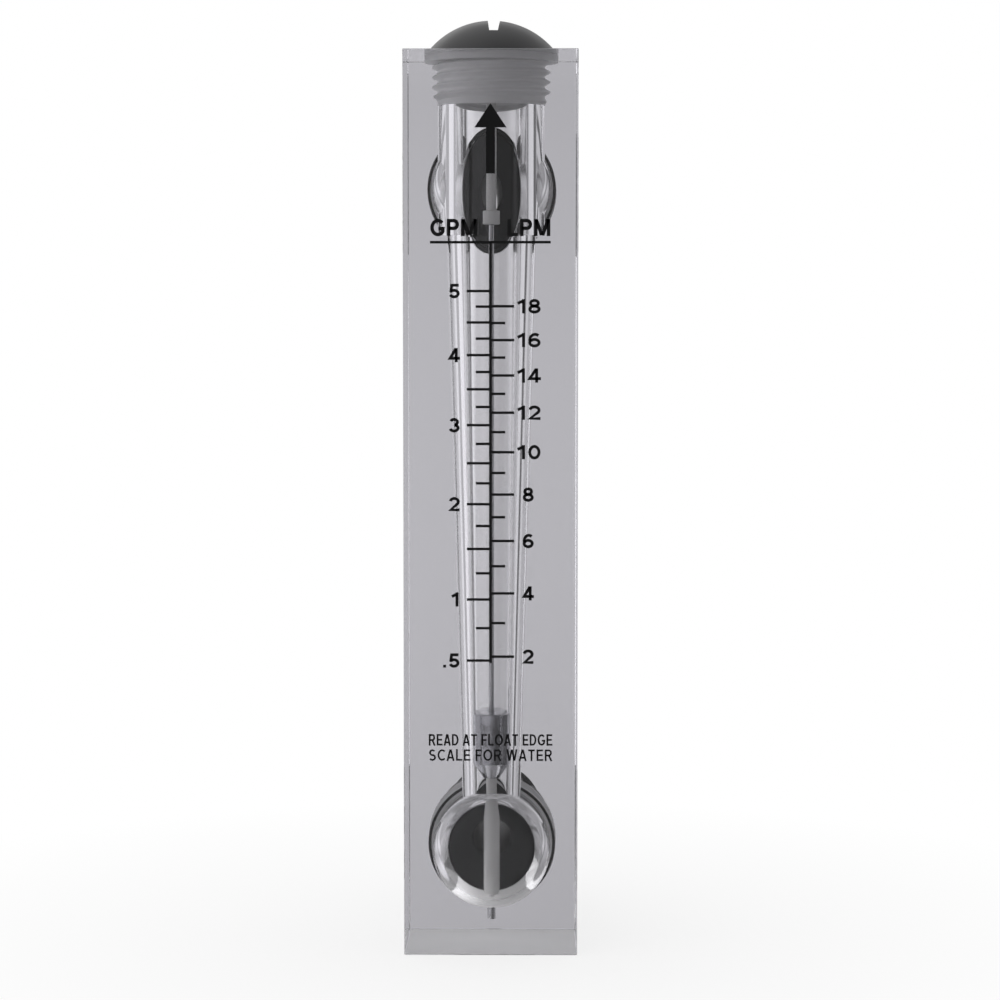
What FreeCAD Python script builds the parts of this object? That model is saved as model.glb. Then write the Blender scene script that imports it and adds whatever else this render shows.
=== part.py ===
import FreeCAD, Part
import math
import os

# Panel mount water flow meter: a clear block with a tapered bore, a float on a guide rod and two rear ports.
# Millimetres. The origin is on the block's back face, midway between the two ports.
# X is to the right, Y points out of the back and Z is up.

# Clear block
block_width = 35.0
block_depth = 35.0
block_height = 182.0
block_edge = 0.2
bore_setback = 17.5

# Port chambers drilled from the back, with the acrylic left under the lower one and over the upper one
inlet_nose_reach = 9.0
outlet_nose_reach = 6.3
nose_corner = 4.65
inlet_floor = 7.8
outlet_roof = 14.8
port_seat_width = 1.15

# Tapered bore and the chamber above it
taper_bottom_diameter = 12.0
taper_top_diameter = 18.2
upper_step = 1.8
upper_floor_drop = 9.7

# Top plug with its coin slot and seal
plug_thread_height = 1.1
plug_hole_depth = 10.0
plug_spigot_length = 5.0
plug_lead = 0.6
head_overhang = 2.05
head_height = 7.6
slot_floor_width = 1.75
slot_mouth_width = 2.6
slot_depth = 3.0
slot_offset = 0.5
plug_ring_section = 1.5
socket_depth = 3.0

# Guide rod, float and the two float stops
rod_diameter = 1.65
rod_hole_depth = 3.0
rod_end_gap = 0.3
rod_chamfer = 0.2
float_bore_gap = 0.3
float_body_height = 10.3
float_cone_height = 3.3
float_nose_diameter = 5.2
float_edge = 0.25
float_seat_rise = 2.2
lower_stop_diameter = 3.3
upper_stop_diameter = 3.1
upper_flange_diameter = 5.2
upper_flange_height = 2.7
upper_flange_rise = 2.6

# Hose adapters screwed into the back
pipe_thread_diameter = 20.955
pipe_thread_length = 17.0
pipe_thread_pitch = 1.814
panel_thread_step = 0.2
port_thread_step = 2.5225
panel_thread_length = 16.0
panel_thread_pitch = 1.5
adapter_wall = 6.4775
adapter_mouth = 0.3
spigot_length = 10.0
port_ring_section = 1.0
thread_chamfer = 1.0

# Panel washers and nuts, screwed up close to the block while no panel is between them
panel_gap = 0.5
washer_width = 1.8
washer_thickness = 1.0
nut_wall = 2.0
nut_height = 6.5
nut_chamfer = 0.5
flute_count = 12
flute_diameter = 3.0
flute_depth = 0.8

# Clearances on the radius, and end gaps
thread_clearance = 0.1
push_fit = 0.03
float_clearance = 0.2
socket_clearance = 0.1
washer_clearance = 0.3
ring_clearance = 0.05
ring_corner = 0.3

# A 60 degree thread's flats and depth, in shares of its pitch
crest_share = 0.125
root_share = 0.25
depth_share = 0.54

# Diameters that follow from those above
upper_chamber_diameter = taper_top_diameter + 2 * upper_step
plug_thread_diameter = upper_chamber_diameter + 2 * plug_thread_height
head_diameter = plug_thread_diameter + 2 * head_overhang
panel_thread_diameter = pipe_thread_diameter + 2 * panel_thread_step
port_thread_diameter = panel_thread_diameter + 2 * port_thread_step
chamber_diameter = port_thread_diameter - 2 * port_seat_width
adapter_bore = pipe_thread_diameter - 2 * adapter_wall
float_diameter = taper_bottom_diameter - 2 * float_bore_gap

# Heights that several pieces share
port_spacing = block_height - inlet_floor - outlet_roof - chamber_diameter
inlet_z = -port_spacing / 2
outlet_z = port_spacing / 2
bottom_z = inlet_z - chamber_diameter / 2 - inlet_floor
top_z = bottom_z + block_height
inlet_roof_z = inlet_z + chamber_diameter / 2
upper_floor_z = outlet_z - upper_floor_drop
plug_bottom_z = top_z - plug_spigot_length
lower_stop_z = inlet_roof_z + float_seat_rise
upper_flange_z = upper_floor_z + upper_flange_rise
port_depth = spigot_length + port_ring_section

UP = FreeCAD.Vector(0, 0, 1)
BACK = FreeCAD.Vector(0, 1, 0)
RIGHT = FreeCAD.Vector(1, 0, 0)
BORE_AXIS = FreeCAD.Vector(0, -bore_setback, 0)


def port_axis(port_z):
    return FreeCAD.Vector(0, 0, port_z)


def turned(profile, base, along):
    """Solid of revolution from (radius, distance along the axis) points, where three points in one tuple are an arc."""

    def place(point):
        return base + RIGHT * point[0] + along * point[1]

    runs = [item if isinstance(item[0], tuple) else (item,) for item in profile]
    edges = []
    for run, following in zip(runs, runs[1:] + runs[:1]):
        if len(run) == 3:
            edges.append(Part.Arc(*(place(point) for point in run)).toShape())
        edges.append(Part.makeLine(place(run[-1]), place(following[0])))
    return Part.Face(Part.Wire(edges)).revolve(base, along, 360)


def tube(outer_radius, inner_radius, start, end, base, along):
    profile = [(inner_radius, start), (outer_radius, start), (outer_radius, end), (inner_radius, end)]
    return turned(profile, base, along)


def rod_hole_bottom():
    """Height of the blind hole under the inlet chamber that holds the guide rod's foot."""
    return inlet_z - chamber_diameter / 2 - rod_hole_depth


def vertical_bore():
    """All that is cut on the upright axis: tapered bore, chamber above it, plug's threaded hole and seal's seat."""
    taper_bottom = taper_bottom_diameter / 2
    chamber = upper_chamber_diameter / 2
    thread = plug_thread_diameter / 2
    thread_end = top_z - plug_hole_depth
    seat = plug_ring_radius() + plug_ring_section / 2 + ring_clearance
    seat_floor = top_z - plug_ring_section
    profile = [
        (0, inlet_z),
        (taper_bottom, inlet_z),
        (taper_bottom, inlet_roof_z),
        (taper_top_diameter / 2, upper_floor_z),
        (chamber, upper_floor_z),
        (chamber, thread_end - (thread - chamber)),
        (thread, thread_end),
        (thread, seat_floor),
        (seat, seat_floor),
        (seat, top_z + 1),
        (0, top_z + 1),
    ]
    return turned(profile, BORE_AXIS, UP)


def port_hole(port_z, nose_reach):
    """A chamber drilled from the back: flat front end with a wide round at its edge, seat and threaded mouth."""
    radius = chamber_diameter / 2
    mouth = port_thread_diameter / 2
    front = -bore_setback - nose_reach
    window = radius - nose_corner
    diagonal = nose_corner * math.sqrt(0.5)
    corner = (
        (window, front),
        (window + diagonal, front + nose_corner - diagonal),
        (radius, front + nose_corner),
    )
    profile = [
        (0, 1),
        (0, front),
        corner,
        (radius, -port_depth),
        (mouth, -port_depth),
        (mouth, 1),
    ]
    return turned(profile, port_axis(port_z), BACK)


def meter_body():
    corner = FreeCAD.Vector(-block_width / 2, -block_depth, bottom_z)
    block = Part.makeBox(block_width, block_depth, block_height, corner)
    block = block.makeChamfer(block_edge, block.Edges)
    rod_hole = tube(rod_diameter / 2 + push_fit, 0, rod_hole_bottom(), inlet_z, BORE_AXIS, UP)
    inlet = port_hole(inlet_z, inlet_nose_reach)
    outlet = port_hole(outlet_z, outlet_nose_reach)
    return block.cut([vertical_bore(), inlet, outlet, rod_hole])


def plug_ring_radius():
    """Mean radius of the seal under the plug's head."""
    return plug_thread_diameter / 2 + ring_clearance + plug_ring_section / 2


def coin_slot():
    """Slot from front to back across the head, a little wider at its mouth than at its floor."""
    head = head_diameter / 2
    mouth_z = top_z + head_height
    floor_z = mouth_z - slot_depth
    section = [
        (slot_offset - slot_floor_width / 2, floor_z),
        (slot_offset + slot_floor_width / 2, floor_z),
        (slot_offset + slot_mouth_width / 2, mouth_z),
        (slot_offset - slot_mouth_width / 2, mouth_z),
    ]
    corners = [BORE_AXIS + FreeCAD.Vector(x, -head, z) for x, z in section]
    face = Part.Face(Part.makePolygon(corners + corners[:1]))
    return face.extrude(BACK * head_diameter)


def squeezed_ring(mean_radius, section, middle, base, along):
    """Seal ring pressed flat by its seats, with bevelled corners."""
    half = section / 2 - ring_clearance
    low, high = mean_radius - half, mean_radius + half
    near, far = middle - section / 2, middle + section / 2
    profile = [
        (low + ring_corner, near),
        (high - ring_corner, near),
        (high, near + ring_corner),
        (high, far - ring_corner),
        (high - ring_corner, far),
        (low + ring_corner, far),
        (low, far - ring_corner),
        (low, near + ring_corner),
    ]
    return turned(profile, base, along)


def top_plug():
    spigot = plug_thread_diameter / 2 - thread_clearance
    head = head_diameter / 2
    dome_radius = (head**2 + head_height**2) / (2 * head_height)
    dome_centre = top_z + head_height - dome_radius
    half_angle = math.asin(head / dome_radius) / 2
    dome_middle = (dome_radius * math.sin(half_angle), dome_centre + dome_radius * math.cos(half_angle))
    profile = [
        (0, plug_bottom_z),
        (spigot - plug_lead, plug_bottom_z),
        (spigot, plug_bottom_z + plug_lead),
        (spigot, top_z),
        ((head, top_z), dome_middle, (0, top_z + head_height)),
    ]
    plug = turned(profile, BORE_AXIS, UP)
    slot = coin_slot()
    socket_radius = rod_diameter / 2 + socket_clearance
    socket = tube(socket_radius, 0, plug_bottom_z, plug_bottom_z + socket_depth, BORE_AXIS, UP)
    return plug.cut([slot, socket])


def plug_o_ring():
    return squeezed_ring(plug_ring_radius(), plug_ring_section, top_z - plug_ring_section / 2, BORE_AXIS, UP)


def guide_rod():
    radius = rod_diameter / 2
    foot = rod_hole_bottom()
    end = plug_bottom_z + socket_depth - rod_end_gap
    profile = [
        (0, foot),
        (radius - rod_chamfer, foot),
        (radius, foot + rod_chamfer),
        (radius, end - rod_chamfer),
        (radius - rod_chamfer, end),
        (0, end),
    ]
    return turned(profile, BORE_AXIS, UP)


def lower_float_stop():
    """Sleeve that stands on the curved floor of the inlet chamber and carries the float when no water flows."""
    radius = lower_stop_diameter / 2
    foot = inlet_z - math.sqrt((chamber_diameter / 2) ** 2 - radius**2)
    return tube(radius, rod_diameter / 2 + push_fit, foot, lower_stop_z, BORE_AXIS, UP)


def upper_float_stop():
    """Sleeve under the plug with a flange at its foot that the float meets at full flow."""
    inner = rod_diameter / 2 + push_fit
    flange_top = upper_flange_z + upper_flange_height
    end = plug_bottom_z - ring_clearance
    profile = [
        (inner, upper_flange_z),
        (upper_flange_diameter / 2, upper_flange_z),
        (upper_flange_diameter / 2, flange_top),
        (upper_stop_diameter / 2, flange_top),
        (upper_stop_diameter / 2, end),
        (inner, end),
    ]
    return turned(profile, BORE_AXIS, UP)


def float_weight():
    inner = rod_diameter / 2 + float_clearance
    outer = float_diameter / 2
    shoulder = lower_stop_z + float_cone_height
    crown = shoulder + float_body_height
    profile = [
        (inner, lower_stop_z),
        (float_nose_diameter / 2, lower_stop_z),
        (outer, shoulder),
        (outer, crown - float_edge),
        (outer - float_edge, crown),
        (inner, crown),
    ]
    return turned(profile, BORE_AXIS, UP)


def thread_ridges(diameter, pitch, start, length):
    """Profile of an outside thread as even ridges, which begin and end at its root."""
    crest = diameter / 2
    root = crest - depth_share * pitch
    points = [(root, start)]
    for turn in range(math.floor(length / pitch)):
        middle = start + (turn + 0.5) * pitch
        half_foot = (1 - root_share) * pitch / 2
        half_crest = crest_share * pitch / 2
        points += [
            (root, middle - half_foot),
            (crest, middle - half_crest),
            (crest, middle + half_crest),
            (root, middle + half_foot),
        ]
    return points + [(root, start + length)]


def hose_adapter(port_z):
    """Spigot in the block, panel thread, then the pipe thread, with one bore right through."""
    bore = adapter_bore / 2
    spigot = port_thread_diameter / 2 - thread_clearance
    end = panel_thread_length + pipe_thread_length
    profile = [
        (bore + adapter_mouth, -spigot_length),
        (spigot - thread_chamfer, -spigot_length),
        (spigot, -spigot_length + thread_chamfer),
        (spigot, 0),
        *thread_ridges(panel_thread_diameter, panel_thread_pitch, 0, panel_thread_length),
        *thread_ridges(pipe_thread_diameter, pipe_thread_pitch, panel_thread_length, pipe_thread_length),
        (bore, end),
        (bore, -spigot_length + adapter_mouth),
    ]
    return turned(profile, port_axis(port_z), BACK)


def port_o_ring(port_z):
    """Seal between the adapter's front end and the seat at the bottom of the port's thread."""
    mean_radius = (chamber_diameter + port_thread_diameter) / 4
    middle = -spigot_length - port_ring_section / 2
    return squeezed_ring(mean_radius, port_ring_section, middle, port_axis(port_z), BACK)


def panel_washer(port_z):
    inner = panel_thread_diameter / 2 + washer_clearance
    end = panel_gap + washer_thickness
    return tube(inner + washer_width, inner, panel_gap, end, port_axis(port_z), BACK)


def panel_nut(port_z):
    """Round nut with finger flutes around its rim."""
    inner = panel_thread_diameter / 2 + thread_clearance
    outer = inner + nut_wall
    start = panel_gap + washer_thickness
    end = start + nut_height
    profile = [
        (inner + nut_chamfer, start),
        (outer - nut_chamfer, start),
        (outer, start + nut_chamfer),
        (outer, end - nut_chamfer),
        (outer - nut_chamfer, end),
        (inner + nut_chamfer, end),
        (inner, end - nut_chamfer),
        (inner, start + nut_chamfer),
    ]
    nut = turned(profile, port_axis(port_z), BACK)
    flute_radius = flute_diameter / 2
    flute_centre = outer + flute_radius - flute_depth
    flutes = []
    for index in range(flute_count):
        angle = 2 * math.pi * index / flute_count
        offset = FreeCAD.Vector(math.cos(angle), 0, math.sin(angle)) * flute_centre
        foot = port_axis(port_z) + BACK * start + offset
        flutes.append(Part.makeCylinder(flute_radius, nut_height, foot, BACK))
    return nut.cut(flutes)


def flow_meter():
    pieces = {
        "meter_body": meter_body(),
        "top_plug": top_plug(),
        "plug_o_ring": plug_o_ring(),
        "guide_rod": guide_rod(),
        "lower_float_stop": lower_float_stop(),
        "upper_float_stop": upper_float_stop(),
        "float": float_weight(),
    }
    for side, port_z in (("inlet", inlet_z), ("outlet", outlet_z)):
        pieces[f"{side}_adapter"] = hose_adapter(port_z)
        pieces[f"{side}_o_ring"] = port_o_ring(port_z)
        pieces[f"{side}_panel_washer"] = panel_washer(port_z)
        pieces[f"{side}_panel_nut"] = panel_nut(port_z)
    return pieces


os.makedirs("parts", exist_ok=True)
for name, shape in flow_meter().items():
    shape.exportStep(f"parts/{name}.step")
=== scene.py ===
import math
from typing import NamedTuple

import bmesh
import bpy
from bpy.props import FloatProperty, FloatVectorProperty, IntProperty, PointerProperty
from mathutils import Matrix, Vector


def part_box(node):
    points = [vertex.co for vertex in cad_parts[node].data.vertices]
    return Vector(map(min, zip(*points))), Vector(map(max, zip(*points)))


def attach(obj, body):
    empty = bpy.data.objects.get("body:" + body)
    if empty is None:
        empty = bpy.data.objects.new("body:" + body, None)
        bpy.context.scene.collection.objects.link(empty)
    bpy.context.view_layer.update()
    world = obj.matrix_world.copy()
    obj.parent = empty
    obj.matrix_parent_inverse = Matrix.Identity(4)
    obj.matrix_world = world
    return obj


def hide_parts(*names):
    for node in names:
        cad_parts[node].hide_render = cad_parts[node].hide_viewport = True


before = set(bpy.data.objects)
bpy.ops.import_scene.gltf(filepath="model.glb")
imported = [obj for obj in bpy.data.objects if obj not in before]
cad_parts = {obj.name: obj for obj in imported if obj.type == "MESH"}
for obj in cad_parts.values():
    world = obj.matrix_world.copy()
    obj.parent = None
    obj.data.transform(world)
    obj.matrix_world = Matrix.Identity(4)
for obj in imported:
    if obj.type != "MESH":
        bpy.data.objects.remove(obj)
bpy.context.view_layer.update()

bl_info = {
    "name": "Panel Mount Water Flow Meter",
    "version": (1, 0, 0),
    "blender": (4, 5, 0),
    "location": "View3D > Sidebar > Flow Meter",
    "description": "Dresses a clear block flow meter: bored acrylic, plug, float, ports and printed scale",
    "category": "Mesh",
}

MM = 0.001


def frame_middle(node):
    """Middle of a node's box."""
    low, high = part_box(node)
    return (low + high) / 2


def frame_radius(node):
    """Outer radius of a round node, from its width."""
    low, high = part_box(node)
    return (high.x - low.x) / 2


# Places that come from the frame, in metres. X is to the right, Y points out of the back and Z is up.
BLOCK_LOW, BLOCK_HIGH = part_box("meter_body")
BLOCK_BACK = BLOCK_HIGH.y
BLOCK_FRONT = BLOCK_LOW.y
BLOCK_TOP = BLOCK_HIGH.z
BORE_AXIS = frame_middle("guide_rod")
PORT_HEIGHTS = {side: frame_middle(f"{side}_adapter").z for side in ("inlet", "outlet")}

# How finely round things are drawn
ROUND_STEPS = 144
ROD_STEPS = 64
ROD_HOLE_STEPS = 48
NOSE_STEPS = 36
FLUTE_STEPS = 8
LAND_STEPS = 6
FILLET_STEPS = 4
EDGE_STEPS = 3

# Edges that bend more than this are sharp
SHARP_ANGLE = math.radians(32)

# Points this close are one
WELD = 1e-7

# How far a cutter reaches past the face that it opens
CUT_PAST = 1 * MM

# A face whose normal has less than this along Z is the block's bottom
DOWNWARD = -0.99

# Round of a seal's corners, as a share of its thickness
SEAL_ROUND = 0.35

# A 60 degree thread in shares of one turn: root, flank up, crest, flank down
ROOT_HALF = 0.375
CREST_HALF = 0.0625
THREAD_CORNERS = (0.5 - ROOT_HALF, 0.5 - CREST_HALF, 0.5 + CREST_HALF, 0.5 + ROOT_HALF)
THREAD_DEPTH = (ROOT_HALF - CREST_HALF) / math.tan(math.radians(30))


def linear(hex_colour):
    """Linear red, green and blue of an sRGB hex colour."""
    shares = [int(hex_colour[start:start + 2], 16) / 255 for start in (1, 3, 5)]
    return [share / 12.92 if share <= 0.04045 else ((share + 0.055) / 1.055) ** 2.4 for share in shares]


def length(name, description, millimetres):
    """Property for a size, given in millimetres and kept in metres."""
    return FloatProperty(
        name=name, description=description, default=millimetres * MM, unit="LENGTH", precision=5
    )


def rotation(name, description, degrees):
    """Property for an angle, given in degrees and kept in radians."""
    return FloatProperty(name=name, description=description, default=math.radians(degrees), subtype="ANGLE")


def colour(name, description, hex_colour):
    """Property for a colour, given as sRGB and kept linear."""
    return FloatVectorProperty(
        name=name, description=description, default=linear(hex_colour), subtype="COLOR", min=0, max=1
    )


class BlockSettings(bpy.types.PropertyGroup):
    edge: length("Edge Round", "Polished round along the block's edges", 0.2)
    chamber: length("Port Chamber", "Diameter of the chambers drilled in from the back", 24.1)
    inlet_nose: length("Inlet Nose", "How far the inlet chamber ends in front of the bore's axis", 9.0)
    outlet_nose: length("Outlet Nose", "How far the outlet chamber ends in front of the bore's axis", 6.3)
    nose_corner: length("Nose Corner", "Round at the front end of a port chamber", 4.65)
    taper_bottom: length("Bore at Foot", "Diameter of the tapered bore over the inlet", 12.0)
    taper_top: length("Bore at Head", "Diameter of the tapered bore under the upper chamber", 18.2)
    upper_chamber: length("Upper Chamber", "Diameter of the straight bore over the taper", 21.8)
    upper_floor_drop: length("Upper Floor Drop", "Step at the taper's head, under the outlet's axis", 9.7)
    port_depth: length("Port Depth", "Depth of the threaded port mouths", 11.0)
    thread_relief: length("Thread Relief", "Plain groove between a port's seal and its thread", 1.6)
    mouth_chamfer: length("Mouth Chamfer", "Countersink at the mouth of each threaded hole", 0.3)
    contact_gap: length("Contact Gap", "Room between pieces that touch, or press of the rod's foot", 0.03)
    # The block's grey is painted shade: a dim backdrop seen through clear acrylic, laid into the acrylic's
    # colour
    tint: colour("Painted Backdrop Shade", "Grey that a white backdrop takes through the block", "#B6B5BA")


class PlugSettings(bpy.types.PropertyGroup):
    thread: length("Thread Diameter", "Outer diameter of the plug hole's thread", 24.0)
    pitch: length("Thread Pitch", "Rise of the plug's thread in one turn", 2.0)
    hole_depth: length("Hole Depth", "Depth of the threaded hole for the plug", 10.0)
    lead: length("Lead", "Chamfer at the foot of the plug's spigot", 0.6)
    slot_floor: length("Slot Floor", "Width of the coin slot at its floor", 1.75)
    slot_mouth: length("Slot Mouth", "Width of the coin slot at the top of the dome", 2.6)
    slot_depth: length("Slot Depth", "Depth of the coin slot under the top of the dome", 3.0)
    slot_offset: length("Slot Offset", "Distance of the slot to the right of the axis", 0.5)
    socket: length("Rod Socket", "Diameter of the hole for the guide rod", 1.85)
    socket_depth: length("Socket Depth", "Depth of the hole for the guide rod", 3.0)
    seal_room: length("Seal Room", "Space between the seal and the wall of its seat", 0.1)
    black: colour("Plug Black", "Moulded plug", "#262628")


class GuideSettings(bpy.types.PropertyGroup):
    rod_edge: length("Rod Edge", "Round at the rod's ends", 0.2)
    fit: length("Sleeve Fit", "Gap between rod and sleeves", 0.03)
    sleeve_edge: length("Sleeve Edge", "Round at the sleeves' edges", 0.15)
    flange_height: length("Flange Height", "Height of the flange under the upper sleeve", 2.7)
    stem: length("Upper Sleeve", "Diameter of the upper sleeve over its flange", 3.1)
    steel: colour("Rod Steel", "Drawn stainless wire", "#C4C4C6")
    sleeve: colour("Sleeve White", "Turned fluoropolymer sleeves", "#F2F2F0")


class FloatSettings(bpy.types.PropertyGroup):
    bore: length("Float Bore", "Diameter of the hole for the rod", 2.05)
    nose: length("Nose", "Diameter at the foot of the cone", 5.2)
    cone_height: length("Cone Height", "Height of the cone under the float", 3.3)
    edge: length("Float Edge", "Round at the float's edges", 0.25)
    steel: colour("Float Steel", "Turned stainless steel", "#B6B6BA")


class PortSettings(bpy.types.PropertyGroup):
    mouth_thread: length("Mouth Thread", "Outer diameter of the threaded port mouths", 26.4)
    mouth_pitch: length("Mouth Pitch", "Rise of the port thread in one turn", 1.814)
    thread_room: length("Thread Room", "Gap on the radius between mating threads", 0.1)
    panel_thread: length("Panel Thread", "Outer diameter of the thread for the panel nut", 21.355)
    panel_length: length("Panel Length", "Length of the panel thread behind the block", 16.0)
    panel_pitch: length("Panel Pitch", "Rise of the panel thread in one turn", 1.5)
    pipe_thread: length("Pipe Thread", "Outer diameter of the pipe thread", 20.955)
    pipe_pitch: length("Pipe Pitch", "Rise of the pipe thread in one turn", 1.814)
    lead_in: length("Lead-in", "Run over which the pipe thread rises", 0.5)
    run_out: length("Run-out", "Run over which the panel and pipe threads fade", 1.0)
    bore: length("Adapter Bore", "Diameter of the water way", 8.0)
    flare: length("Bore Flare", "Countersink of the water way at the chamber", 0.3)
    edge: length("Adapter Edge", "Round at the adapter's ends", 0.3)
    black: colour("Adapter Black", "Moulded adapters and nuts", "#1C1C1E")
    rubber: colour("Rubber Black", "Seals and washers", "#161617")


class FixingSettings(bpy.types.PropertyGroup):
    washer_hole: length("Washer Hole", "Inner diameter of the panel washers", 21.955)
    washer_edge: length("Washer Edge", "Round at the washers' edges", 0.25)
    flutes: IntProperty(name="Flutes", description="Finger flutes around the nut's rim", default=12, min=3)
    flute: length("Flute Diameter", "Diameter of each finger flute", 3.0)
    flute_depth: length("Flute Depth", "Depth of each finger flute", 0.8)
    chamfer: length("Nut Chamfer", "Chamfer at the nut's edges", 0.5)


class PrintSettings(bpy.types.PropertyGroup):
    ink_gap: length("Ink Gap", "Air under the print, too thin to see, so that it shares no face", 0.002)
    ink_height: length("Ink Height", "How far the print stands off the face", 0.02)
    line: length("Line Width", "Thickness of the scale's lines", 0.52)
    low_mark: length("Lowest Mark", "Height of the half gallon mark", -27.55)
    high_mark: length("Highest Mark", "Height of the five gallon mark", 46.5)
    long_tick: length("Long Tick", "Length of every second mark", 4.75)
    short_tick: length("Short Tick", "Length of the marks between them", 2.95)
    digit: length("Digit Height", "Height of the scale's numbers", 2.85)
    gallon_column: length("Gallon Column", "Middle of the gallon numbers", -7.25)
    half_column: length("Half Column", "Middle of the half gallon number", -7.9)
    litre_column: length("Litre Column", "Middle of the litre numbers", 7.55)
    two_digits: length("Two Digits", "Width of a litre number with two digits", 5.05)
    units_line: length("Units Line", "Height of the line under the unit marks", 56.2)
    units_left: length("Units Left", "Left end of the line under the unit marks", -12.05)
    units_right: length("Units Right", "Right end of the line under the unit marks", 12.0)
    unit_rise: length("Unit Rise", "How far the unit marks stand over their line", 1.2)
    unit_height: length("Unit Height", "Height of the unit marks", 3.4)
    gallon_unit: length("Gallon Unit", "Middle of the gallon mark", -7.3)
    gallon_unit_width: length("Gallon Unit Width", "Width of the gallon mark", 9.35)
    litre_unit: length("Litre Unit", "Middle of the litre mark", 7.65)
    litre_unit_width: length("Litre Unit Width", "Width of the litre mark", 8.5)
    note_height: length("Note Height", "Height of the reading note's capitals", 2.4)
    note_width: length("Note Width", "Width of the reading note's lines", 24.9)
    note_top: length("Note Top", "Height of the reading note's upper line", -44.8)
    note_pitch: length("Note Pitch", "Drop from the reading note's upper line to the lower", 3.1)
    arrow_tip: length("Arrow Tip", "Height of the flow arrow's tip", 83.7)
    arrow_shoulder: length("Arrow Shoulder", "Height where the arrow's head starts", 78.9)
    arrow_foot: length("Arrow Foot", "Height of the arrow's lower end", 69.8)
    arrow_shaft: length("Arrow Shaft", "Width of the arrow's shaft", 1.8)
    arrow_head: length("Arrow Head", "Width of the arrow's head", 6.4)
    ink: colour("Ink", "Screen printed black", "#0C0C0E")


class StageSettings(bpy.types.PropertyGroup):
    camera_place: FloatVectorProperty(
        name="Camera", description="Where the camera stands", default=(0.008, -0.535, 0.03343),
        subtype="TRANSLATION",
    )
    camera_tilt: rotation("Tilt", "How far the camera looks down", 3.279)
    camera_turn: rotation("Turn", "How far the camera turns left", 0.699)
    lens: FloatProperty(
        name="Lens", description="Focal length on a 36 mm sensor", default=90.03, unit="CAMERA"
    )
    floor_radius: length("Floor Radius", "Size of the pale floor", 2500.0)
    floor_gap: length("Floor Gap", "Air under the block, which rests on its highest spots", 0.05)
    floor: colour("Floor", "Matt painted board", "#F4F4F4")
    shadow_core: length("Shadow Core", "How far the floor is darkest around the block's middle", 20.0)
    shadow_reach: length("Shadow Reach", "How far the darker floor reaches", 160.0)
    shadow_light: FloatProperty(
        name="Shadow Light", description="Share of the floor's white in the shadow's core", default=0.8,
        subtype="FACTOR", min=0, max=1,
    )


class FlowMeterSettings(bpy.types.PropertyGroup):
    block: PointerProperty(type=BlockSettings, name="Block")
    plug: PointerProperty(type=PlugSettings, name="Plug")
    guide: PointerProperty(type=GuideSettings, name="Guide")
    weight: PointerProperty(type=FloatSettings, name="Float")
    ports: PointerProperty(type=PortSettings, name="Ports")
    fixings: PointerProperty(type=FixingSettings, name="Fixings")
    scale: PointerProperty(type=PrintSettings, name="Scale")
    stage: PointerProperty(type=StageSettings, name="Stage")


# Turned shapes


class Thread(NamedTuple):
    """A helical run in a turned profile. All threads of the same pitch and axis are in phase."""

    start: float
    end: float
    crest: float
    pitch: float
    lead_in: float = 0.0
    run_out: float = 0.0

    def root(self):
        return self.crest - THREAD_DEPTH * self.pitch

    def radius(self, along, angle):
        """Radius of the thread's surface at a place along it and an angle."""
        turn = (along / self.pitch - angle / math.tau) % 1
        height = (ROOT_HALF - abs(turn - 0.5)) / (ROOT_HALF - CREST_HALF)
        height = min(1, max(0, height))
        if self.lead_in:
            height *= min(1, (along - self.start) / self.lead_in)
        if self.run_out:
            height *= min(1, (self.end - along) / self.run_out)
        return self.root() + THREAD_DEPTH * self.pitch * height

    def rows(self, angle):
        """The thread's corner lines at one angle. The first and last turn are always held at the ends."""
        first = math.floor(self.start / self.pitch) - 2
        last = math.ceil(self.end / self.pitch) + 1
        found = []
        for turn in range(first, last):
            for corner in THREAD_CORNERS:
                along = self.pitch * (turn + corner + angle / math.tau)
                along = min(max(along, self.start), self.end)
                found.append((self.radius(along, angle), along))
        return found


def upright(radius, along, angle):
    """Places a point of a piece that is turned about the bore's axis."""
    return Vector((BORE_AXIS.x + radius * math.cos(angle), BORE_AXIS.y + radius * math.sin(angle), along))


def rearward(port_height):
    """Gives the placing of points of a piece that is turned about a port's axis."""

    def place(radius, along, angle):
        across = radius * math.sin(angle)
        up = radius * math.cos(angle)
        return Vector((BORE_AXIS.x + across, along, port_height + up))

    return place


def even_angles(steps=ROUND_STEPS, offset=0.0):
    """Angles of a turned piece's columns, moved on by a share of one step."""
    return [math.tau * (step + offset) / steps for step in range(steps)]


def arc(centre, radius, start, end, steps):
    """Points of an arc in a profile. Angles run from the axis' direction away from the axis."""
    turns = [start + (end - start) * step / steps for step in range(steps + 1)]
    return [(centre[0] + radius * math.sin(turn), centre[1] + radius * math.cos(turn)) for turn in turns]


def fillet(before, corner, after, radius):
    """Arc that rounds one corner of a profile."""
    corner = Vector(corner)
    to_before = (Vector(before) - corner).normalized()
    to_after = (Vector(after) - corner).normalized()
    half = to_before.angle(to_after) / 2
    reach = radius / math.tan(half)
    centre = corner + (to_before + to_after).normalized() * (radius / math.sin(half))
    start = corner + to_before * reach - centre
    end = corner + to_after * reach - centre
    points = []
    for step in range(FILLET_STEPS + 1):
        share = step / FILLET_STEPS
        direction = (start * (1 - share) + end * share).normalized()
        points.append(tuple(centre + direction * radius))
    return points


def softened(profile):
    """Profile in which each corner that carries a third value, its radius, has become an arc."""
    softened_profile = []
    for index, item in enumerate(profile):
        if isinstance(item, Thread) or len(item) == 2:
            softened_profile.append(item)
            continue
        before = profile[index - 1]
        after = profile[(index + 1) % len(profile)]
        if isinstance(before, Thread):
            before = (before.root(), before.end)
        if isinstance(after, Thread):
            after = (after.root(), after.start)
        softened_profile += fillet(before[:2], item[:2], after[:2], item[2])
    return softened_profile


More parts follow.
